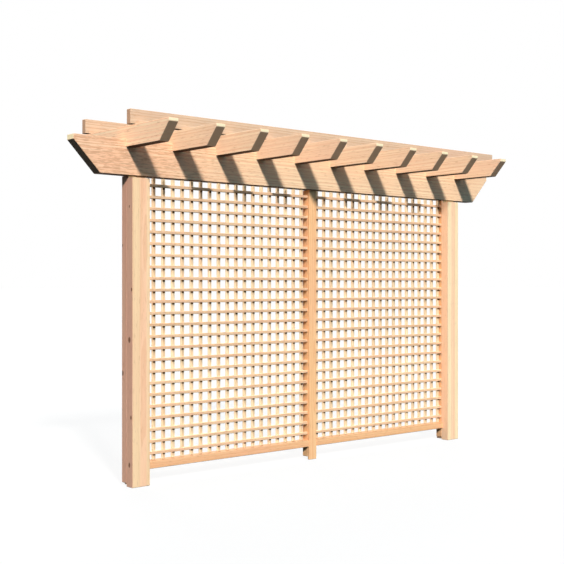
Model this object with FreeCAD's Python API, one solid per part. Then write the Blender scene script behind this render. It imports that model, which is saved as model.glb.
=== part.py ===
"""Free-standing cedar pergola wall: two built-up posts, a lattice in two bays and a rafter top.

Millimetres, +Z up, X along the wall, -Y towards the viewer.
The origin is on the ground, under the middle of the header beam.
"""
import FreeCAD, Part
import os

V = FreeCAD.Vector

# Driving dimensions of the lattice
PITCH = 79.4
SLAT_WIDTH = 20.5
SLAT_THICK = 21.0
SLATS_PER_BAY = 19
ROWS = 24
FIRST_ROW = 202.5
ROW_PITCH = 79.0

# Driving dimensions of the uprights
CLEAR_WIDTH = 3048.0
POST_WIDTH = 140.0
POST_DEPTH = 71.0
STILE_DEPTH = 58.0
POST_SETOUT = 23.0
STILE_FOOT_GAP = 22.0
FOOT_BLOCK_WIDTH = 60.0
FOOT_BLOCK_REACH = 30.0
LEDGE_DROP = 14.0
LEDGE_DEPTH = 52.0
MULLION_WIDTH = 76.0
BATTEN_THICK = 18.0

# Driving dimensions of the bottom rail
RAIL_BOTTOM = 100.0
RAIL_HEIGHT = 50.0

# Driving dimensions of the header beam
BEAM_BOTTOM = 2071.0
BEAM_HEIGHT = 239.0
BEAM_THICK = 86.0
BEAM_HALF_TOP = 2086.0
BEAM_HALF_BOTTOM = 1890.0
BEAM_PLUMB_CUT = 34.0

# Driving dimensions of the rafters
RAFTERS = 10
RAFTER_STEP = 370.5
RAFTER_SHIFT = 8.0
RAFTER_THICK = 75.0
RAFTER_BOTTOM = 2257.0
RAFTER_HEIGHT = 138.0
RAFTER_HALF_TOP = 539.0
RAFTER_HALF_BOTTOM = 432.0
RAFTER_PLUMB_CUT = 21.0

# Driving dimensions of the purlins
PURLIN_THICK = 48.0
PURLIN_HEIGHT = 99.0
PURLIN_LEFT = 1730.0
PURLIN_RIGHT = 2033.0
PURLIN_FRONT_Y = -126.0
PURLIN_REAR_Y = 451.0

# Eased edges and the play round a fastener
EASE = 2.5
SLAT_EASE = 1.5
PLAY = 0.3

# Fasteners: shank and head diameters, head heights and lengths
RAFTER_SCREW = {"shank": 8.0, "head": 18.0, "head_height": 5.0, "length": 200.0}
PURLIN_SCREW = {"shank": 8.0, "head": 18.0, "head_height": 5.0, "length": 150.0}
STILE_SCREW = {"shank": 8.0, "head": 18.0, "head_height": 5.0, "length": 110.0}
BATTEN_SCREW = {"shank": 5.0, "head": 10.0, "head_height": 3.0, "length": 70.0}
HEAD_SINK = 1.0
ROUND_SIDES = 8
SCREW_ROWS = 5
SCREW_END = 200.0
BEAM_DOWEL_DIAMETER = 16.0
BEAM_DOWEL_HALF = 80.0
BEAM_DOWEL_SPREAD = 40.0
BEAM_DOWEL_Y = 27.0
RAIL_DOWEL_DIAMETER = 14.0
RAIL_DOWEL_HALF = 32.0

# Planes and places that follow from them
POST_FRONT = -BEAM_THICK / 2 - POST_SETOUT
STILE_FRONT = POST_FRONT + POST_DEPTH
STILE_BACK = STILE_FRONT + STILE_DEPTH
BATTEN_FRONT = STILE_FRONT - BATTEN_THICK
POST_INNER = CLEAR_WIDTH / 2
POST_CENTRE = POST_INNER + POST_WIDTH / 2
MULLION_HALF = MULLION_WIDTH / 2
RAIL_TOP = RAIL_BOTTOM + RAIL_HEIGHT
BEAM_TOP = BEAM_BOTTOM + BEAM_HEIGHT
RAFTER_TOP = RAFTER_BOTTOM + RAFTER_HEIGHT
LAP = (RAFTER_BOTTOM + BEAM_TOP) / 2
RAFTER_CENTRES = [RAFTER_SHIFT + (i - (RAFTERS - 1) / 2) * RAFTER_STEP for i in range(RAFTERS)]
SCREW_PITCH = (BEAM_BOTTOM - 2 * SCREW_END) / (SCREW_ROWS - 1)
SCREW_HEIGHTS = [SCREW_END + i * SCREW_PITCH for i in range(SCREW_ROWS)]
STILE_MIDDLE = (STILE_FRONT + STILE_BACK) / 2
RAIL_MIDDLE = RAIL_BOTTOM + RAIL_HEIGHT / 2
UP, DOWN = V(0, 0, 1), V(0, 0, -1)
ALONG, FORWARD = V(1, 0, 0), V(0, -1, 0)


def block(x0, x1, y0, y1, z0, z1):
    """A plain length of timber between two corners."""
    return Part.makeBox(x1 - x0, y1 - y0, z1 - z0, V(x0, y0, z0))


def eased(timber, size=EASE):
    """The timber with its sharp edges planed off."""
    return timber.makeChamfer(size, timber.Edges)


def prism(points, direction):
    """A timber sawn to an outline and as thick as the direction is long."""
    face = Part.Face(Part.makePolygon(points + points[:1]))
    return face.extrude(direction)


def rod(diameter, length, start, direction):
    """A fastener's round stretch, drawn with a few flat sides because it repeats so often."""
    turn = 360.0 / ROUND_SIDES
    across = V(direction.y, direction.z, direction.x)
    corners = []
    for i in range(ROUND_SIDES):
        spoke = FreeCAD.Rotation(direction, i * turn).multVec(across)
        corners.append(start + spoke * (diameter / 2))
    return prism(corners, direction * length)


def screw_solid(kind, seat, direction):
    """A screw whose head sits below the surface at the seat point."""
    top = seat + direction * HEAD_SINK
    head = rod(kind["head"], kind["head_height"], top, direction)
    return head.fuse(rod(kind["shank"], kind["length"], top, direction)).removeSplitter()


def screw_hole(kind, seat, direction):
    """The stepped hole that such a screw is driven into."""
    sink = rod(kind["head"] + 2 * PLAY, kind["head_height"] + HEAD_SINK, seat, direction)
    depth = kind["length"] + HEAD_SINK + PLAY
    return sink.fuse(rod(kind["shank"] + 2 * PLAY, depth, seat, direction))


def dowel_solid(diameter, half, middle, direction):
    """A dowel, half in each of the two pieces that it joins."""
    return rod(diameter, 2 * half, middle - direction * half, direction)


def dowel_hole(diameter, half, middle, direction):
    """The blind holes of a dowel, taken as one cutter."""
    return dowel_solid(diameter + 2 * PLAY, half + PLAY, middle, direction)


# Seats of the fasteners, shared by the pieces that they join
RAFTER_SEATS = [V(x, 0, RAFTER_TOP) for x in RAFTER_CENTRES]
PURLIN_TOP = RAFTER_TOP + PURLIN_HEIGHT


def purlin_seats(y):
    return [V(x, y, PURLIN_TOP) for x in RAFTER_CENTRES]


def stile_seats(side):
    return [V(side * POST_CENTRE, STILE_BACK, z) for z in SCREW_HEIGHTS]


BATTEN_SEATS = [V(0, STILE_BACK, z) for z in SCREW_HEIGHTS]


def beam_dowel_middles():
    """Two dowels over each built-up post and one over the mullion."""
    spread = [side * POST_CENTRE + step * BEAM_DOWEL_SPREAD for side in (-1, 1) for step in (-1, 1)]
    return [V(x, BEAM_DOWEL_Y, BEAM_BOTTOM) for x in spread + [0]]


def rail_dowel_middles(side):
    """One dowel at each end of a bay's rail."""
    return [V(side * x, STILE_MIDDLE, RAIL_MIDDLE) for x in (MULLION_HALF, POST_INNER)]


def holes(kind, seats, direction):
    return [screw_hole(kind, seat, direction) for seat in seats]


def beam_dowel_holes():
    return [dowel_hole(BEAM_DOWEL_DIAMETER, BEAM_DOWEL_HALF, m, UP) for m in beam_dowel_middles()]


def rail_dowel_holes():
    middles = rail_dowel_middles(-1) + rail_dowel_middles(1)
    return [dowel_hole(RAIL_DOWEL_DIAMETER, RAIL_DOWEL_HALF, m, ALONG) for m in middles]


def front_post(side):
    """A front post: its top has a low ledge that leaves a shadow gap under the beam."""
    x = side * POST_CENTRE
    half = POST_WIDTH / 2
    post = eased(block(x - half, x + half, POST_FRONT, STILE_FRONT, 0, BEAM_BOTTOM))
    ledge_back, ledge_top = POST_FRONT + LEDGE_DEPTH, BEAM_BOTTOM - LEDGE_DROP
    ledge = block(x - half, x + half, POST_FRONT, ledge_back, ledge_top, BEAM_TOP)
    return post.cut([ledge] + holes(STILE_SCREW, stile_seats(side), FORWARD))


def rear_stile(side):
    """The board behind a post, which stands on a foot block."""
    x = side * POST_CENTRE
    half = POST_WIDTH / 2
    stile = eased(block(x - half, x + half, STILE_FRONT, STILE_BACK, STILE_FOOT_GAP, BEAM_BOTTOM))
    fixings = holes(STILE_SCREW, stile_seats(side), FORWARD) + beam_dowel_holes() + rail_dowel_holes()
    return stile.cut(fixings)


def foot_block(side):
    """The block under a stile: it reaches back behind the wall to steady it."""
    x = side * POST_CENTRE
    half = FOOT_BLOCK_WIDTH / 2
    return eased(block(x - half, x + half, STILE_FRONT, STILE_BACK + FOOT_BLOCK_REACH, 0, STILE_FOOT_GAP))


def mullion_batten():
    """The front layer of the middle upright, down to the ground."""
    batten = eased(block(-MULLION_HALF, MULLION_HALF, BATTEN_FRONT, STILE_FRONT, 0, BEAM_BOTTOM))
    return batten.cut(holes(BATTEN_SCREW, BATTEN_SEATS, FORWARD))


def mullion_rear():
    """The rear layer of the middle upright, clear of the ground."""
    rear = eased(block(-MULLION_HALF, MULLION_HALF, STILE_FRONT, STILE_BACK, STILE_FOOT_GAP, BEAM_BOTTOM))
    return rear.cut(holes(BATTEN_SCREW, BATTEN_SEATS, FORWARD) + beam_dowel_holes() + rail_dowel_holes())


def bottom_rail(side):
    """The rail of one bay, from the mullion to the post."""
    x0, x1 = sorted((side * MULLION_HALF, side * POST_INNER))
    rail = eased(block(x0, x1, BATTEN_FRONT, STILE_BACK, RAIL_BOTTOM, RAIL_TOP))
    return rail.cut(rail_dowel_holes())


def vertical_slats(side):
    """The upright slats of one bay, from the rail to the beam, behind the level ones."""
    y0 = STILE_FRONT + SLAT_THICK
    half = SLAT_WIDTH / 2
    slats = []
    for i in range(1, SLATS_PER_BAY + 1):
        x = side * i * PITCH
        slat = block(x - half, x + half, y0, y0 + SLAT_THICK, RAIL_TOP, BEAM_BOTTOM)
        slats.append(eased(slat, SLAT_EASE))
    return Part.makeCompound(slats)


def horizontal_slats(side):
    """The level slats of one bay, from the mullion to the stile."""
    x0, x1 = sorted((side * MULLION_HALF, side * POST_INNER))
    half = SLAT_WIDTH / 2
    slats = []
    for row in range(ROWS):
        z = FIRST_ROW + row * ROW_PITCH
        slat = block(x0, x1, STILE_FRONT, STILE_FRONT + SLAT_THICK, z - half, z + half)
        slats.append(eased(slat, SLAT_EASE))
    return Part.makeCompound(slats)


def rafter_seat(x):
    """The slot in the beam's top that a rafter is lapped into."""
    half = RAFTER_THICK / 2
    return block(x - half, x + half, -BEAM_THICK, BEAM_THICK, LAP, BEAM_TOP + RAFTER_HEIGHT)


def header_beam():
    """The beam: raked ends under a short plumb cut, and a lap for every rafter."""
    plumb = BEAM_TOP - BEAM_PLUMB_CUT
    corners = [
        (-BEAM_HALF_TOP, BEAM_TOP), (-BEAM_HALF_TOP, plumb), (-BEAM_HALF_BOTTOM, BEAM_BOTTOM),
        (BEAM_HALF_BOTTOM, BEAM_BOTTOM), (BEAM_HALF_TOP, plumb), (BEAM_HALF_TOP, BEAM_TOP),
    ]
    beam = eased(prism([V(x, -BEAM_THICK / 2, z) for x, z in corners], V(0, BEAM_THICK, 0)))
    seats = [rafter_seat(x) for x in RAFTER_CENTRES]
    return beam.cut(seats + holes(RAFTER_SCREW, RAFTER_SEATS, DOWN) + beam_dowel_holes())


def rafter(x):
    """A rafter: both ends raked under a short plumb cut, and a lap over the beam."""
    plumb = RAFTER_TOP - RAFTER_PLUMB_CUT
    corners = [
        (-RAFTER_HALF_TOP, RAFTER_TOP), (-RAFTER_HALF_TOP, plumb), (-RAFTER_HALF_BOTTOM, RAFTER_BOTTOM),
        (RAFTER_HALF_BOTTOM, RAFTER_BOTTOM), (RAFTER_HALF_TOP, plumb), (RAFTER_HALF_TOP, RAFTER_TOP),
    ]
    half = RAFTER_THICK / 2
    timber = eased(prism([V(x - half, y, z) for y, z in corners], V(RAFTER_THICK, 0, 0)))
    lap = block(x - half, x + half, -BEAM_THICK / 2, BEAM_THICK / 2, RAFTER_BOTTOM, LAP)
    fixings = holes(RAFTER_SCREW, [V(x, 0, RAFTER_TOP)], DOWN)
    fixings += holes(PURLIN_SCREW, [V(x, y, PURLIN_TOP) for y in (PURLIN_FRONT_Y, PURLIN_REAR_Y)], DOWN)
    return timber.cut([lap] + fixings)


def purlin(y):
    """A square-ended board on edge across the rafters."""
    half = PURLIN_THICK / 2
    timber = eased(block(-PURLIN_LEFT, PURLIN_RIGHT, y - half, y + half, RAFTER_TOP, PURLIN_TOP))
    return timber.cut(holes(PURLIN_SCREW, purlin_seats(y), DOWN))


def screws(kind, seats, direction):
    """A group of like screws, each a separate solid."""
    return Part.makeCompound([screw_solid(kind, seat, direction) for seat in seats])


def dowels(diameter, half, middles, direction):
    """A group of like dowels, each a separate solid."""
    return Part.makeCompound([dowel_solid(diameter, half, m, direction) for m in middles])


def all_nodes():
    """Every named piece of the pergola."""
    nodes = {}
    for side, name in ((-1, "left"), (1, "right")):
        nodes["front_post_" + name] = front_post(side)
        nodes["rear_stile_" + name] = rear_stile(side)
        nodes["foot_block_" + name] = foot_block(side)
        nodes["bottom_rail_" + name] = bottom_rail(side)
        nodes["vertical_slats_" + name] = vertical_slats(side)
        nodes["horizontal_slats_" + name] = horizontal_slats(side)
    nodes["mullion_batten"] = mullion_batten()
    nodes["mullion_rear"] = mullion_rear()
    nodes["header_beam"] = header_beam()
    for i, x in enumerate(RAFTER_CENTRES, 1):
        nodes["rafter_%d" % i] = rafter(x)
    nodes["purlin_front"] = purlin(PURLIN_FRONT_Y)
    nodes["purlin_rear"] = purlin(PURLIN_REAR_Y)
    nodes["rafter_screws"] = screws(RAFTER_SCREW, RAFTER_SEATS, DOWN)
    purlin_screw_seats = purlin_seats(PURLIN_FRONT_Y) + purlin_seats(PURLIN_REAR_Y)
    nodes["purlin_screws"] = screws(PURLIN_SCREW, purlin_screw_seats, DOWN)
    nodes["stile_screws"] = screws(STILE_SCREW, stile_seats(-1) + stile_seats(1), FORWARD)
    nodes["batten_screws"] = screws(BATTEN_SCREW, BATTEN_SEATS, FORWARD)
    nodes["beam_dowels"] = dowels(BEAM_DOWEL_DIAMETER, BEAM_DOWEL_HALF, beam_dowel_middles(), UP)
    rail_middles = rail_dowel_middles(-1) + rail_dowel_middles(1)
    nodes["rail_dowels"] = dowels(RAIL_DOWEL_DIAMETER, RAIL_DOWEL_HALF, rail_middles, ALONG)
    return nodes


os.makedirs("parts", exist_ok=True)
for node, shape in all_nodes().items():
    shape.exportStep("parts/%s.step" % node)
    print(node, len(shape.Solids), "solids", shape.isValid(), round(shape.Volume / 1e6, 3), "litres")
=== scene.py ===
"""Looks of a free-standing cedar pergola wall: planed cedar, zinc screws and nails, a pale floor, soft light.

Metres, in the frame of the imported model: +X along the wall, -Y towards the viewer, +Z up.
"""
import math

import bmesh
import bpy
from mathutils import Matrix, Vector


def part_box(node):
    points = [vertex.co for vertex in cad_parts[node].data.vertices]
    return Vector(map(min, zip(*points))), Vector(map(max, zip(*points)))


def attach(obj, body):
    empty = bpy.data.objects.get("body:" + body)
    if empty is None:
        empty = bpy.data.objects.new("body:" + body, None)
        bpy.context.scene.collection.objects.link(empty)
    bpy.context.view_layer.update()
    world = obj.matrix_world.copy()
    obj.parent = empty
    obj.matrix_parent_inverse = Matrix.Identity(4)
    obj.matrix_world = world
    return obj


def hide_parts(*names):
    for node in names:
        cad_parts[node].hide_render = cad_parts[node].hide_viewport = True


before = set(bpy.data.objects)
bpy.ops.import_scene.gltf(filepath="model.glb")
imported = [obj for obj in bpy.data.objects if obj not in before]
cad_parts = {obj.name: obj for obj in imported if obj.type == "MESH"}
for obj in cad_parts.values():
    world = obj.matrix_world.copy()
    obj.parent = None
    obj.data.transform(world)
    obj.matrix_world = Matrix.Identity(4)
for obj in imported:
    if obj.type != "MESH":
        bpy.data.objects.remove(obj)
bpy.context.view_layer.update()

# The photograph's camera: a level eye left of the wall, turned to the right
IMAGE_WIDTH = 564
EYE = (-5.353, -5.880, 1.359)
IMAGE_DROP = 0.7
YAW = math.radians(40.66)
FOCAL_PIXELS = 1031.0
SENSOR_MM = 36.0

# Key lamps at the front left: two for the lattice and the uprights, one for the rest
KEY_TRAVEL = (0.42, 1.0, -0.70)
KEY_LEVEL = 3.66
KEY_ANGLE = math.radians(5.4)
KEY_COLOUR = (1.0, 0.97, 0.92)
LOW_KEY_TRAVEL = (0.56, 1.0, -0.70)
UPRIGHT_KEY_LEVEL = 3.8
LATTICE_KEY_LEVEL = 3.3
LATTICE_KEY_ANGLE = math.radians(2.0)
LATTICE_FILL_LEVEL = 0.6
LATTICE_FILL_COLOUR = (0.86, 1.0, 1.0)

# Fills: a broad cool one, a shadowless one on the left faces, a soft one from behind, and a cool sky
COOL_TRAVEL = (0.2, 1.0, -0.5)
COOL_LEVEL = 1.1
COOL_COLOUR = (0.36, 0.72, 1.0)
COOL_ANGLE = math.radians(110.0)
SIDE_TRAVEL = (1.0, 0.0, -1.05)
SIDE_LEVEL = 1.9
LATTICE_SIDE_LEVEL = 1.2
SIDE_COLOUR = (1.0, 0.95, 0.88)
BACK_TRAVEL = (-0.7, -1.0, -0.75)
BACK_LEVEL = 2.2
BACK_ANGLE = math.radians(40.0)
WHITE = (1.0, 1.0, 1.0)
SKY_COLOUR = (0.014, 0.052, 0.08)

# Floor: how it looks to the camera, and the little light that it sends back up
FLOOR_SIZE = 400.0
FLOOR_GLOW = 0.835
FLOOR_SHARE = 0.12
FLOOR_BOUNCE = (0.02, 0.018, 0.015)

# Lattice spacing, read by the slat finish and by the nails at the crossings
SLAT_PITCH = 0.0794
SLATS_PER_BAY = 19
FIRST_ROW = 0.2025
ROW_PITCH = 0.079
ROWS = 24

# Fasteners
RAFTERS = 10
HEAD_SINK = 0.001
HEAD_SIDES = 24
SHANK_SIDES = 12
THREAD_STEPS = 10
SCREW_ROWS = 5
SCREW_END = 0.2
NAIL_HEAD = 0.0044
NAIL_SHANK = 0.0018
NAIL_LENGTH = 0.03
NAIL_PROUD = 0.0005
NAIL_SIDES = 8

AXES = "XYZ"


def srgb(red, green, blue):
    """A colour given as it looks on a screen, as linear values."""
    def linear(level):
        share = level / 255
        return share / 12.92 if share <= 0.04045 else ((share + 0.055) / 1.055) ** 2.4
    return (linear(red), linear(green), linear(blue), 1.0)


# Cedar tones: early wood, late wood and the pink streaks between them
TONES = {
    "post": (srgb(252, 216, 173), srgb(236, 189, 144), srgb(247, 200, 162)),
    "pale post": (srgb(255, 229, 185), srgb(248, 206, 158), srgb(253, 215, 174)),
    "mullion": (srgb(253, 204, 150), srgb(240, 172, 120), srgb(250, 190, 146)),
    "rail": (srgb(247, 196, 145), srgb(234, 165, 116), srgb(244, 183, 142)),
    "beam": (srgb(255, 226, 188), srgb(230, 177, 137), srgb(250, 206, 167)),
    # The end rafter's tone is lighter: painted light in place of the bounce light that the inner rafters take from
    # their neighbours
    "end rafter painted light": (srgb(255, 223, 188), srgb(246, 186, 148), srgb(255, 206, 173)),
    "rafter": (srgb(243, 214, 182), srgb(225, 177, 141), srgb(240, 197, 167)),
    "purlin": (srgb(227, 197, 167), srgb(204, 161, 128), srgb(224, 184, 157)),
    "level slat": (srgb(247, 213, 177), srgb(236, 185, 146), srgb(246, 197, 163)),
    "upright slat": (srgb(234, 217, 186), srgb(222, 190, 149), srgb(232, 200, 166)),
}
PALE_CUT = srgb(255, 240, 198)
BROWN_CUT = srgb(186, 147, 120)
# Painted shade on raked end cuts, which look downwards: the rafters' ends, and the darker beam end
RAKED_END_SHADE = srgb(173, 147, 122)
DARK_END_SHADE = srgb(98, 90, 78)
# Painted shade on the right post's left side, which sits darker than its front
WARM_SIDE_SHADE = srgb(238, 222, 228)
PINK_SIDE = srgb(248, 227, 242)
# Painted shade on the eased edges of left sides
EASED_EDGE_SHADE = srgb(226, 226, 226)
BLUSH = srgb(255, 243, 243)
BAND = srgb(255, 240, 244)
# Painted shade on undersides
UNDERSIDE_SHADE = srgb(76, 66, 56)
# Painted shadow under each lap on the upright slats
LAP_SHADE = srgb(140, 110, 80)
KNOT = srgb(112, 68, 42)
FLECK = srgb(176, 122, 84)

# The log: ring spacing, and how far the rings wander
RING = 0.0062
SLOW_WANDER = 0.025
QUICK_WANDER = 0.006
SLAT_HEARTS = 0.16
SLAT_STARTS = 40.0


def node_in(tree, kind, inputs=(), **settings):
    """A new shader node: an input that is a socket is linked, and any other value is set."""
    node = tree.nodes.new(kind)
    for key, value in settings.items():
        setattr(node, key, value)
    for key, value in dict(inputs).items():
        if isinstance(value, bpy.types.NodeSocket):
            tree.links.new(value, node.inputs[key])
        else:
            node.inputs[key].default_value = value
    return node


def calc(tree, operation, *values):
    """The result of one sum on sockets or numbers."""
    return node_in(tree, "ShaderNodeMath", enumerate(values), operation=operation).outputs[0]


def spread(tree, value, low, high, to_low, to_high):
    """A value taken smoothly from one range to another."""
    sockets = {"Value": value, "From Min": low, "From Max": high, "To Min": to_low, "To Max": to_high}
    return node_in(tree, "ShaderNodeMapRange", sockets, interpolation_type="SMOOTHSTEP").outputs[0]


def tint(tree, share, under, over, kind="MIX"):
    """One colour laid over another."""
    sockets = {0: share, 6: under, 7: over}
    return node_in(tree, "ShaderNodeMix", sockets, data_type="RGBA", blend_type=kind).outputs[2]


def noise(tree, vector, scale, detail=2.0, roughness=0.5):
    """Smooth noise from 0 to 1."""
    sockets = {"Vector": vector, "Scale": scale, "Detail": detail, "Roughness": roughness}
    return node_in(tree, "ShaderNodeTexNoise", sockets).outputs[0]


def combine(tree, x, y, z):
    return node_in(tree, "ShaderNodeCombineXYZ", {0: x, 1: y, 2: z}).outputs[0]


def separate(tree, vector):
    return node_in(tree, "ShaderNodeSeparateXYZ", {0: vector}).outputs


def new_material(name):
    """An empty material and its node tree."""
    material = bpy.data.materials.new(name)
    material.use_nodes = True
    material.node_tree.nodes.clear()
    return material, material.node_tree


def surface(tree, shader):
    node_in(tree, "ShaderNodeOutputMaterial", {"Surface": shader})


def knot_distance(tree, position, knot, grain):
    """Distance from a knot in its own radii: knots are longer along the grain."""
    place, radius = knot
    reach = [1.6 * radius if axis == grain else radius for axis in AXES]
    offset = node_in(tree, "ShaderNodeVectorMath", {0: position, 1: place}, operation="SUBTRACT").outputs[0]
    scaled = node_in(tree, "ShaderNodeVectorMath", {0: offset, 1: reach}, operation="DIVIDE").outputs[0]
    return node_in(tree, "ShaderNodeVectorMath", {0: scaled}, operation="LENGTH").outputs["Value"]


def slat_dice(tree, place, slats, seed):
    """The middle of the slat that a point is in, and three random numbers of that slat."""
    pitch, first = slats
    index = calc(tree, "ROUND", calc(tree, "DIVIDE", calc(tree, "SUBTRACT", place, first), pitch))
    dice = node_in(tree, "ShaderNodeTexWhiteNoise", {"W": calc(tree, "ADD", index, seed)},
                   noise_dimensions="1D").outputs["Color"]
    return calc(tree, "MULTIPLY", index, pitch), node_in(tree, "ShaderNodeSeparateColor", {0: dice}).outputs


def face_tints(tree, colour, normal, grain, cut, raked, left):
    """Square ends take a cut colour. Raked ends, undersides and the eased edges of a left side take painted shade, and
    a left side takes a tint of its own, which is painted shade on the right post.
    """
    along = calc(tree, "ABSOLUTE", normal[grain])
    square = spread(tree, along, 0.9, 0.97, 0.0, 0.85)
    # Raked end faces that look downwards take painted shade
    raked_shade_share = calc(tree, "MULTIPLY", spread(tree, along, 0.5, 0.65, 0.0, 0.9), spread(tree, along, 0.85, 0.95, 1.0, 0.0))
    raked_shade_share = calc(tree, "MULTIPLY", raked_shade_share, spread(tree, normal["Z"], -0.6, -0.4, 1.0, 0.0))
    # Faces that look downwards, other than ends, take painted shade
    under = spread(tree, normal["Z"], -0.7, -0.6, 1.0, 0.0)
    under = calc(tree, "MULTIPLY", under, spread(tree, along, 0.3, 0.5, 1.0, 0.0))
    colour = tint(tree, square, colour, cut)
    colour = tint(tree, raked_shade_share, colour, raked)
    colour = tint(tree, under, colour, UNDERSIDE_SHADE, "MULTIPLY")
    if left:
        # A left side takes its tint: the left post's own pink tone, or painted shade on the right post
        facing = spread(tree, normal["X"], -0.65, -0.45, 1.0, 0.0)
        colour = tint(tree, facing, colour, left, "MULTIPLY")
        # The eased edges of a left side take painted shade
        eased_edge_shade = calc(tree, "MULTIPLY", facing, spread(tree, normal["X"], -0.95, -0.85, 0.0, 1.0))
        colour = tint(tree, eased_edge_shade, colour, EASED_EDGE_SHADE, "MULTIPLY")
    return colour


def lap_shade_share(tree, height, normal, laps):
    """Painted shadow on the front of an upright slat, in the corner under each slat that crosses it."""
    pitch, first = laps
    turn = calc(tree, "DIVIDE", calc(tree, "SUBTRACT", height, first), pitch)
    below = calc(tree, "SUBTRACT", calc(tree, "ROUND", turn), turn)
    corner = calc(tree, "MULTIPLY", spread(tree, below, 0.0, 0.05, 0.0, 1.0), spread(tree, below, 0.24, 0.31, 1.0, 0.0))
    return calc(tree, "MULTIPLY", corner, spread(tree, normal["Y"], -0.6, -0.5, 1.0, 0.0))


def cedar(name, grain, tone, heart, seed, knots=(), slats=None, cut=PALE_CUT, raked=RAKED_END_SHADE, left=None,
          figure=1.0, fleck_end=None, band=None, laps=None):
    """Planed cedar cut from a log whose rings lie round a heart line along the grain.

    slats gives the axis, pitch and first place of a group of slats, so that each has a heart of its own.
    fleck_end gives the stretch along the grain where dense flecks thin out.
    band gives the middle and half width of a pink band along an upright.
    laps gives the pitch and first height of the slats that cross in front, under which shadow is painted.
    """
    material, tree = new_material(name)
    coordinates = node_in(tree, "ShaderNodeTexCoord")
    position = coordinates.outputs["Object"]
    parts = separate(tree, position)
    across = [axis for axis in AXES if axis != grain]
    lengthwise = calc(tree, "ADD", parts[grain], seed)
    side = [calc(tree, "SUBTRACT", parts[axis], place) for axis, place in zip(across, heart)]
    dice = None
    if slats:
        which = across.index(slats[0])
        middle, dice = slat_dice(tree, parts[slats[0]], slats[1:], seed)
        side[which] = calc(tree, "SUBTRACT", side[which], middle)
        side[which] = calc(tree, "MULTIPLY_ADD", dice[0], SLAT_HEARTS, side[which])
        lengthwise = calc(tree, "MULTIPLY_ADD", dice[1], SLAT_STARTS, lengthwise)

    # The log: distance from the heart, with wander along the length
    slow, quick, dash, fibre = [combine(tree, *side, calc(tree, "MULTIPLY", lengthwise, stretch))
                                for stretch in (0.09, 0.3, 0.12, 0.015)]
    squares = [calc(tree, "MULTIPLY", reach, reach) for reach in side]
    distance = calc(tree, "SQRT", calc(tree, "ADD", *squares))
    distance = calc(tree, "MULTIPLY_ADD", noise(tree, slow, 7.0), SLOW_WANDER, distance)
    distance = calc(tree, "MULTIPLY_ADD", noise(tree, quick, 16.0), QUICK_WANDER, distance)
    nearness = [knot_distance(tree, position, knot, grain) for knot in knots]
    for (_, radius), near in zip(knots, nearness):
        distance = calc(tree, "ADD", distance, spread(tree, near, 0.6, 4.5, 0.5 * radius, 0.0))

    # Rings: bands of growth, with thin late wood lines in them
    growth = node_in(tree, "ShaderNodeTexNoise",
                     {"W": distance, "Scale": 70.0, "Detail": 3.0, "Roughness": 0.7},
                     noise_dimensions="1D").outputs[0]
    ring = calc(tree, "FRACT", calc(tree, "DIVIDE", distance, RING))
    late = calc(tree, "MULTIPLY", spread(tree, ring, 0.45, 0.93, 0.0, 1.0), spread(tree, ring, 1.0, 0.93, 0.0, 1.0))
    strands = noise(tree, fibre, 330.0, 3.0, 0.6)
    streaks = noise(tree, dash, 140.0, 3.0, 0.6)
    dense = spread(tree, parts[grain], *fleck_end, 1.0, 0.0) if fleck_end else 0.0
    streaks = calc(tree, "MULTIPLY_ADD", dense, 0.11, streaks)
    cloud = noise(tree, quick, 3.2, 2.0)

    early_wood, late_wood, streak = TONES[tone]
    colour = tint(tree, spread(tree, growth, 0.35, 0.72, 0.0, 0.85 * figure), early_wood, late_wood)
    colour = tint(tree, spread(tree, cloud, 0.4, 0.75, 0.0, 0.8), colour, streak)
    colour = tint(tree, calc(tree, "MULTIPLY", late, 0.4), colour, late_wood)
    colour = tint(tree, spread(tree, streaks, 0.55, 0.72, 0.0, 0.42 * figure), colour, FLECK)
    colour = tint(tree, dense, colour, BLUSH, "MULTIPLY")
    if band:
        reach = calc(tree, "ABSOLUTE", calc(tree, "SUBTRACT", parts["X"], band[0]))
        colour = tint(tree, spread(tree, reach, 0.5 * band[1], 1.5 * band[1], 1.0, 0.0), colour, BAND, "MULTIPLY")
    value = spread(tree, strands, 0.25, 0.75, 0.94, 1.05)
    if dice:
        value = calc(tree, "MULTIPLY", value, spread(tree, dice[2], 0.0, 1.0, 0.93, 1.05))
    colour = tint(tree, 1.0, colour, combine(tree, value, value, value), "MULTIPLY")
    normal = separate(tree, coordinates.outputs["Normal"])
    colour = face_tints(tree, colour, normal, grain, cut, raked, left)
    if laps:
        colour = tint(tree, lap_shade_share(tree, parts["Z"], normal, laps), colour, LAP_SHADE, "MULTIPLY")
    for near in nearness:
        colour = tint(tree, spread(tree, near, 0.55, 1.25, 0.85, 0.0), colour, KNOT)

    relief = calc(tree, "ADD", calc(tree, "MULTIPLY", late, 0.6), strands)
    bump = node_in(tree, "ShaderNodeBump", {"Height": relief, "Strength": 0.3, "Distance": 0.0008})
    shader = node_in(tree, "ShaderNodeBsdfPrincipled",
                     {"Base Color": colour, "Roughness": spread(tree, strands, 0.2, 0.8, 0.62, 0.8),
                      "Specular IOR Level": 0.1, "Normal": bump.outputs[0]})
    surface(tree, shader.outputs[0])
    return material


def zinc(name):
    """Zinc plated steel with a faint mottle."""
    material, tree = new_material(name)
    position = node_in(tree, "ShaderNodeTexCoord").outputs["Object"]
    mottle = noise(tree, position, 700.0, 3.0)
    colour = tint(tree, mottle, srgb(176, 172, 160), srgb(214, 210, 200))
    shader = node_in(tree, "ShaderNodeBsdfPrincipled",
                     {"Base Color": colour, "Metallic": 1.0, "Roughness": spread(tree, mottle, 0.2, 0.8, 0.32, 0.5)})
    surface(tree, shader.outputs[0])
    return material


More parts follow.
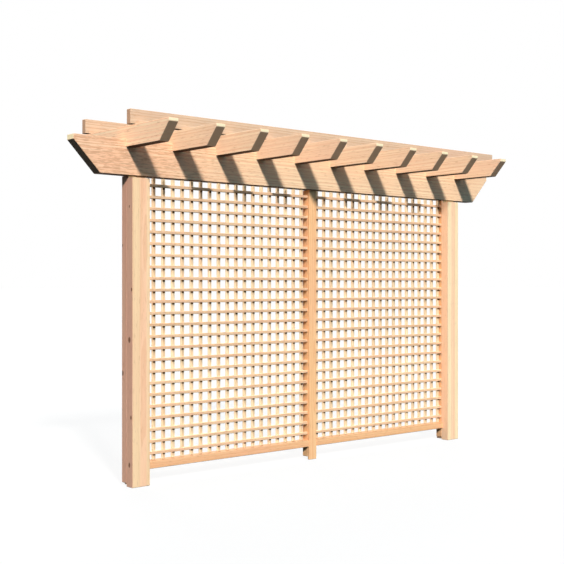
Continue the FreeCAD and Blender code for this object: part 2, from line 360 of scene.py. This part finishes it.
def finish_node(node, material):
    """Gives a timber or a fastener its finish."""
    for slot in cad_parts[node].material_slots:
        slot.material = material


def board(node, grain, tone, offset, seed, **details):
    """A single timber: its heart line is given from the middle of its section."""
    low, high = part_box(node)
    middle = (low + high) / 2
    across = [i for i, axis in enumerate(AXES) if axis != grain]
    heart = [middle[i] + step for i, step in zip(across, offset)]
    finish_node(node, cedar("cedar_" + node, grain, tone, heart, seed, **details))


def dress_uprights():
    """Posts, stiles and the middle upright, grain upwards."""
    low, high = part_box("front_post_left")
    left, depth = low.x, high.y - low.y
    knots = [((left, low.y + share * depth, height), radius)
             for share, height, radius in ((0.5, 1.865, 0.006), (0.12, 1.314, 0.008), (0.5, 0.979, 0.013),
                                          (0.22, 0.465, 0.009), (0.5, 0.148, 0.011))]
    board("front_post_left", "Z", "post", (0.03, 0.11), 1.3, knots=knots, left=PINK_SIDE, figure=0.6,
          band=(left + 0.088, 0.026))
    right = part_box("front_post_right")[0].x
    # Its left side takes painted shade
    board("front_post_right", "Z", "pale post", (-0.05, 0.13), 7.9, left=WARM_SIDE_SHADE, figure=0.5,
          band=(right + 0.071, 0.026))
    low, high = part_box("rear_stile_left")
    knots = [((left, high.y - 0.011, height), radius) for height, radius in ((1.609, 0.006), (0.753, 0.012))]
    board("rear_stile_left", "Z", "post", (0.09, 0.05), 3.1, knots=knots, left=PINK_SIDE, figure=0.6)
    board("rear_stile_right", "Z", "mullion", (-0.02, 0.09), 5.5)
    for number, side in enumerate(("left", "right")):
        board("foot_block_" + side, "X", "mullion", (0.03, -0.05), 9.2 + number, cut=BROWN_CUT)
    board("mullion_batten", "Z", "mullion", (0.02, 0.07), 11.2, figure=0.6)
    board("mullion_rear", "Z", "mullion", (-0.03, 0.1), 13.7)


def dress_lattice():
    """Rails and slats: each slat takes wood of its own."""
    for number, side in enumerate(("left", "right")):
        board("bottom_rail_" + side, "X", "rail", (0.09, 0.04), 17.0 + 3.1 * number)
        level = cedar("cedar_horizontal_slats_" + side, "X", "level slat", (0.06, FIRST_ROW), 21.0 + number,
                      slats=("Z", ROW_PITCH, FIRST_ROW))
        finish_node("horizontal_slats_" + side, level)
        # Upright slats take painted shadow under each slat that crosses them
        upright = cedar("cedar_vertical_slats_" + side, "Z", "upright slat", (0.0, 0.08), 31.0 + number,
                        slats=("X", SLAT_PITCH, 0.0), laps=(ROW_PITCH, FIRST_ROW))
        finish_node("vertical_slats_" + side, upright)


def dress_top():
    """The beam, the rafters and the purlins."""
    # The beam's raked end takes a darker painted shade
    board("header_beam", "X", "beam", (0.06, -0.42), 41.0, raked=DARK_END_SHADE, fleck_end=(-2.0, -0.2))
    for i in range(1, RAFTERS + 1):
        swing = math.sin(2.4 * i)
        # The end rafter takes the lighter tone, which is painted light
        tone = "end rafter painted light" if i == 1 else "rafter"
        board("rafter_%d" % i, "Y", tone, (0.04 + 0.03 * swing, -0.36 - 0.06 * swing), 50.0 + 1.7 * i)
    board("purlin_front", "X", "purlin", (0.04, -0.32), 71.0, cut=BROWN_CUT)
    board("purlin_rear", "X", "purlin", (0.05, 0.36), 77.0, cut=BROWN_CUT)


def start_rod(name, sides, diameter, length):
    """A rod that hangs from the origin, in edit mode with nothing selected."""
    bpy.ops.object.select_all(action="DESELECT")
    bpy.ops.mesh.primitive_cylinder_add(vertices=sides, radius=diameter / 2, depth=length,
                                        location=(0, 0, -length / 2))
    rod = bpy.context.object
    rod.name = name
    bpy.ops.object.transform_apply(location=True, rotation=True, scale=True)
    bpy.ops.object.mode_set(mode="EDIT")
    bpy.ops.mesh.select_all(action="DESELECT")
    return rod


def pick_face(rod, up):
    """Selects the end face of a rod, the top one or the lowest one."""
    bpy.ops.mesh.select_all(action="DESELECT")
    bpy.ops.mesh.select_mode(type="FACE")
    mesh = bmesh.from_edit_mesh(rod.data)
    flat = [face for face in mesh.faces if abs(face.normal.z) > 0.99 and (face.normal.z > 0) == up]
    height = [face.calc_center_median().z for face in flat]
    end = flat[height.index(max(height) if up else min(height))]
    end.select_set(True)
    mesh.faces.active = end
    bmesh.update_edit_mesh(rod.data)


def pick_spokes(rod, sides, every, first):
    """Keeps the selection only on every so many corners of the selected end face."""
    bpy.ops.mesh.select_mode(type="VERT")
    mesh = bmesh.from_edit_mesh(rod.data)
    for corner in [vertex for vertex in mesh.verts if vertex.select]:
        turn = math.atan2(corner.co.y, corner.co.x) / (2 * math.pi) * sides
        corner.select_set(round(turn) % every == first)
    mesh.select_flush_mode()
    bmesh.update_edit_mesh(rod.data)


def shrink(share, height):
    """Draws the selection in towards the rod's axis."""
    bpy.ops.transform.resize(value=(share, share, 1.0), center_override=(0, 0, height))


def push(depth):
    """Extrudes the selected face downwards."""
    bpy.ops.mesh.extrude_region_move(TRANSFORM_OT_translate={"value": (0, 0, -depth)})


def leave_edit():
    bpy.ops.mesh.select_all(action="SELECT")
    bpy.ops.mesh.normals_make_consistent(inside=False)
    bpy.ops.object.mode_set(mode="OBJECT")


def apply_modifier(piece, kind, **settings):
    """Adds a modifier and applies it at once."""
    modifier = piece.modifiers.new(kind.lower(), kind)
    for key, value in settings.items():
        setattr(modifier, key, value)
    bpy.ops.object.select_all(action="DESELECT")
    piece.select_set(True)
    bpy.context.view_layer.objects.active = piece
    bpy.ops.object.modifier_apply(modifier=modifier.name)


def repeat(piece, count, step):
    """Copies a piece along a step."""
    apply_modifier(piece, "ARRAY", count=count, use_relative_offset=False, use_constant_offset=True,
                   constant_offset_displace=step)


def screw_thread(core, crest, start, length, pitch):
    """A sharp ridge that winds down a shank."""
    bpy.ops.object.select_all(action="DESELECT")
    bpy.ops.mesh.primitive_plane_add(size=pitch, location=(0, 0, 0))
    ridge = bpy.context.object
    outline = ((core, 0, 0.3), (crest, 0, 0.04), (crest, 0, -0.04), (core, 0, -0.3))
    for vertex, (reach, _, share) in zip((0, 1, 3, 2), outline):
        ridge.data.vertices[vertex].co = (reach, 0, -start + share * pitch)
    apply_modifier(ridge, "SCREW", angle=2 * math.pi, steps=THREAD_STEPS, render_steps=THREAD_STEPS,
                   screw_offset=-pitch, iterations=int(length / pitch), use_merge_vertices=False)
    bpy.ops.object.mode_set(mode="EDIT")
    leave_edit()
    return ridge


def wood_screw(name, shank, head, head_height, length):
    """A countersunk screw that hangs from the origin: star recess, plain neck, thread and point."""
    screw = start_rod(name, HEAD_SIDES, head, 0.3 * head_height)
    pick_face(screw, True)
    bpy.ops.mesh.inset(thickness=0.22 * head)
    pick_spokes(screw, HEAD_SIDES, 4, 2)
    shrink(0.68, 0)
    pick_face(screw, True)
    pick_spokes(screw, HEAD_SIDES, 2, 1)
    shrink(0.86, 0)
    pick_face(screw, True)
    push(0.2 * head_height)
    pick_face(screw, False)
    push(0.7 * head_height)
    shrink(shank / head, -head_height)
    neck, point = 0.4 * length, 2.0 * shank
    push(neck - head_height)
    shrink(0.72, -neck)
    push(length - point - neck)
    push(point)
    shrink(0.1, -length)
    leave_edit()
    thread = screw_thread(0.34 * shank, 0.5 * shank, neck + 0.3 * shank, length - point - neck, 0.55 * shank)
    return join(screw, thread)


def join(piece, other):
    """Makes two meshes one piece."""
    bpy.ops.object.select_all(action="DESELECT")
    other.select_set(True)
    piece.select_set(True)
    bpy.context.view_layer.objects.active = piece
    bpy.ops.object.join()
    return piece


def seat(piece, place, backward=False):
    """Puts a hanging fastener in its seat: turned to point forward where it is driven from behind."""
    bpy.ops.object.select_all(action="DESELECT")
    piece.select_set(True)
    bpy.context.view_layer.objects.active = piece
    if backward:
        piece.rotation_euler = (-math.pi / 2, 0, 0)
    piece.location = place
    bpy.ops.object.transform_apply(location=True, rotation=True, scale=True)


def finish_piece(piece, material):
    """Gives a modelled piece its finish, and fixes it to the wall."""
    bpy.ops.object.select_all(action="DESELECT")
    piece.select_set(True)
    bpy.context.view_layer.objects.active = piece
    bpy.ops.object.shade_smooth_by_angle(angle=math.radians(35))
    piece.data.materials.clear()
    piece.data.materials.append(material)
    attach(piece, "root")


def middle_of(node):
    low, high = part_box(node)
    return (low + high) / 2


def drive_screws(plated):
    """Threaded screws in the seats of the plain ones."""
    first, second = middle_of("rafter_1"), middle_of("rafter_2")
    step = (second.x - first.x, 0, 0)
    purlins = middle_of("purlin_front"), middle_of("purlin_rear")
    stiles = middle_of("rear_stile_left"), middle_of("rear_stile_right")
    rafter_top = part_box("rafter_1")[1].z - HEAD_SINK
    purlin_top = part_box("purlin_front")[1].z - HEAD_SINK
    stile_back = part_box("rear_stile_left")[1].y - HEAD_SINK
    upright_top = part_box("rear_stile_left")[1].z
    climb = (0, 0, (upright_top - 2 * SCREW_END) / (SCREW_ROWS - 1))

    rafter_screw = wood_screw("threaded_rafter_screws", 0.008, 0.018, 0.005, 0.200)
    seat(rafter_screw, (first.x, 0, rafter_top))
    repeat(rafter_screw, RAFTERS, step)

    purlin_screw = wood_screw("threaded_purlin_screws", 0.008, 0.018, 0.005, 0.150)
    seat(purlin_screw, (first.x, purlins[0].y, purlin_top))
    repeat(purlin_screw, RAFTERS, step)
    repeat(purlin_screw, 2, (0, purlins[1].y - purlins[0].y, 0))

    stile_screw = wood_screw("threaded_stile_screws", 0.008, 0.018, 0.005, 0.110)
    seat(stile_screw, (stiles[0].x, stile_back, SCREW_END), backward=True)
    repeat(stile_screw, SCREW_ROWS, climb)
    repeat(stile_screw, 2, (stiles[1].x - stiles[0].x, 0, 0))

    batten_screw = wood_screw("threaded_batten_screws", 0.005, 0.010, 0.003, 0.070)
    seat(batten_screw, (0, stile_back, SCREW_END), backward=True)
    repeat(batten_screw, SCREW_ROWS, climb)

    for screw, node in ((rafter_screw, "rafter_screws"), (purlin_screw, "purlin_screws"),
                        (stile_screw, "stile_screws"), (batten_screw, "batten_screws")):
        finish_piece(screw, plated)
        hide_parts(node)


def drive_nails(plated):
    """A small nail at every crossing of the lattice, its flat head just proud of the level slat."""
    for sign, side in ((-1, "left"), (1, "right")):
        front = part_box("horizontal_slats_" + side)[0].y
        nail = start_rod("lattice_nails_" + side, NAIL_SIDES, NAIL_HEAD, 2 * NAIL_PROUD)
        pick_face(nail, True)
        bpy.ops.mesh.inset(thickness=0.12 * NAIL_HEAD, depth=0.3 * NAIL_PROUD)
        pick_face(nail, False)
        bpy.ops.mesh.inset(thickness=(NAIL_HEAD - NAIL_SHANK) / 2)
        push(NAIL_LENGTH)
        leave_edit()
        bpy.context.view_layer.objects.active = nail
        nail.rotation_euler = (math.pi / 2, 0, 0)
        nail.location = (sign * SLAT_PITCH, front - NAIL_PROUD, FIRST_ROW)
        bpy.ops.object.transform_apply(location=True, rotation=True, scale=True)
        repeat(nail, SLATS_PER_BAY, (sign * SLAT_PITCH, 0, 0))
        repeat(nail, ROWS, (0, 0, ROW_PITCH))
        finish_piece(nail, plated)


def dress_dowels():
    """The hidden dowels in plain wood."""
    board("beam_dowels", "Z", "mullion", (0.02, 0.02), 81.0)
    board("rail_dowels", "X", "mullion", (0.02, 0.02), 83.0)


def background_rays(tree):
    """1 for the rays that see the background: from the camera, in a gloss or through glass."""
    path = node_in(tree, "ShaderNodeLightPath").outputs
    seen = calc(tree, "MAXIMUM", path["Is Camera Ray"], path["Is Glossy Ray"])
    return calc(tree, "MAXIMUM", seen, path["Is Transmission Ray"])


def make_floor():
    """A wide pale floor that keeps the shadow: it looks white and sends little light back up."""
    bpy.ops.object.select_all(action="DESELECT")
    bpy.ops.mesh.primitive_plane_add(size=FLOOR_SIZE)
    floor = bpy.context.object
    floor.name = "floor"
    material, tree = new_material("floor_white")
    glow = node_in(tree, "ShaderNodeEmission", {"Color": (1, 1, 1, 1), "Strength": FLOOR_GLOW})
    shaded = node_in(tree, "ShaderNodeBsdfDiffuse", {"Color": (FLOOR_SHARE,) * 3 + (1,)})
    white = node_in(tree, "ShaderNodeAddShader", {0: glow.outputs[0], 1: shaded.outputs[0]})
    dull = node_in(tree, "ShaderNodeBsdfDiffuse", {"Color": FLOOR_BOUNCE + (1,)})
    choice = node_in(tree, "ShaderNodeMixShader",
                     {0: background_rays(tree), 1: dull.outputs[0], 2: white.outputs[0]})
    surface(tree, choice.outputs[0])
    floor.data.materials.append(material)


def pick_nodes(name, nodes, state):
    """A group of pieces that a lamp is kept to, or kept from."""
    group = bpy.data.collections.new(name)
    for node in nodes:
        group.objects.link(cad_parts[node])
    for member in group.collection_objects:
        member.light_linking.link_state = state
    return group


def hang_lamp(name, travel, level, colour, angle=0.0, shadow=True):
    """A distant lamp that shines along a direction."""
    lamp = bpy.data.lights.new(name, "SUN")
    lamp.color = colour
    lamp.energy = level
    lamp.angle = angle
    lamp.use_shadow = shadow
    holder = bpy.data.objects.new(name, lamp)
    holder.rotation_mode = "QUATERNION"
    holder.rotation_quaternion = Vector(travel).to_track_quat("-Z", "Y")
    bpy.context.scene.collection.objects.link(holder)
    return holder.light_linking


def light_wall():
    """The lamps: the lattice has a key of its own, which the beam doesn't shade."""
    slats = [way + "_slats_" + side for way in ("vertical", "horizontal") for side in ("left", "right")]
    uprights = ["front_post_left", "rear_stile_left", "mullion_batten", "mullion_rear", "rear_stile_right"]
    all_but_slats = pick_nodes("all_but_slats", slats, "EXCLUDE")
    only_slats = pick_nodes("only_slats", slats, "INCLUDE")
    key = hang_lamp("key", KEY_TRAVEL, KEY_LEVEL, KEY_COLOUR, KEY_ANGLE)
    key.receiver_collection = pick_nodes("all_but_slats_and_uprights", slats + uprights, "EXCLUDE")
    key.blocker_collection = pick_nodes("all_but_purlins", ["purlin_front", "purlin_rear"], "EXCLUDE")
    upright_key = hang_lamp("upright_key", LOW_KEY_TRAVEL, UPRIGHT_KEY_LEVEL, KEY_COLOUR, KEY_ANGLE)
    upright_key.receiver_collection = pick_nodes("only_uprights", uprights, "INCLUDE")
    slat_key = hang_lamp("lattice_key", LOW_KEY_TRAVEL, LATTICE_KEY_LEVEL, KEY_COLOUR, LATTICE_KEY_ANGLE)
    slat_key.receiver_collection = only_slats
    slat_key.blocker_collection = pick_nodes("all_but_beam", ["header_beam"], "EXCLUDE")
    slat_fill = hang_lamp("lattice_fill", LOW_KEY_TRAVEL, LATTICE_FILL_LEVEL, LATTICE_FILL_COLOUR,
                          LATTICE_KEY_ANGLE)
    slat_fill.receiver_collection = only_slats
    slat_fill.blocker_collection = only_slats
    cool = hang_lamp("cool_fill", COOL_TRAVEL, COOL_LEVEL, COOL_COLOUR, COOL_ANGLE)
    cool.receiver_collection = all_but_slats
    side = hang_lamp("side_fill", SIDE_TRAVEL, SIDE_LEVEL, SIDE_COLOUR, shadow=False)
    rails = ["bottom_rail_left", "bottom_rail_right"]
    side.receiver_collection = pick_nodes("all_but_uprights_and_rails", uprights + rails, "EXCLUDE")
    slat_side = hang_lamp("lattice_side_fill", SIDE_TRAVEL, LATTICE_SIDE_LEVEL, SIDE_COLOUR, shadow=False)
    slat_side.receiver_collection = only_slats
    hang_lamp("back_fill", BACK_TRAVEL, BACK_LEVEL, WHITE, BACK_ANGLE)


def make_sky():
    """A cool dome for the fill, seen as plain white."""
    world = bpy.data.worlds.new("studio")
    world.use_nodes = True
    tree = world.node_tree
    tree.nodes.clear()
    dome = node_in(tree, "ShaderNodeBackground", {"Color": SKY_COLOUR + (1,), "Strength": 1.0})
    white = node_in(tree, "ShaderNodeBackground", {"Color": (1, 1, 1, 1), "Strength": 1.0})
    choice = node_in(tree, "ShaderNodeMixShader",
                     {0: background_rays(tree), 1: dome.outputs[0], 2: white.outputs[0]})
    node_in(tree, "ShaderNodeOutputWorld", {"Surface": choice.outputs[0]})
    bpy.context.scene.world = world


def make_camera():
    """The photograph's view, with upright lines kept upright."""
    lens = bpy.data.cameras.new("photo_view")
    lens.sensor_width = SENSOR_MM
    lens.lens = FOCAL_PIXELS * SENSOR_MM / IMAGE_WIDTH
    lens.shift_y = IMAGE_DROP / IMAGE_WIDTH
    lens.clip_end = 2 * FLOOR_SIZE
    camera = bpy.data.objects.new("photo_view", lens)
    camera.location = EYE
    camera.rotation_euler = (math.pi / 2, 0, -YAW)
    bpy.context.scene.collection.objects.link(camera)
    bpy.context.scene.camera = camera


dress_uprights()
dress_lattice()
dress_top()
dress_dowels()
zinc_plate = zinc("zinc_plate")
drive_screws(zinc_plate)
drive_nails(zinc_plate)
make_floor()
light_wall()
make_sky()
make_camera()
bpy.context.scene.view_settings.view_transform = "Standard"
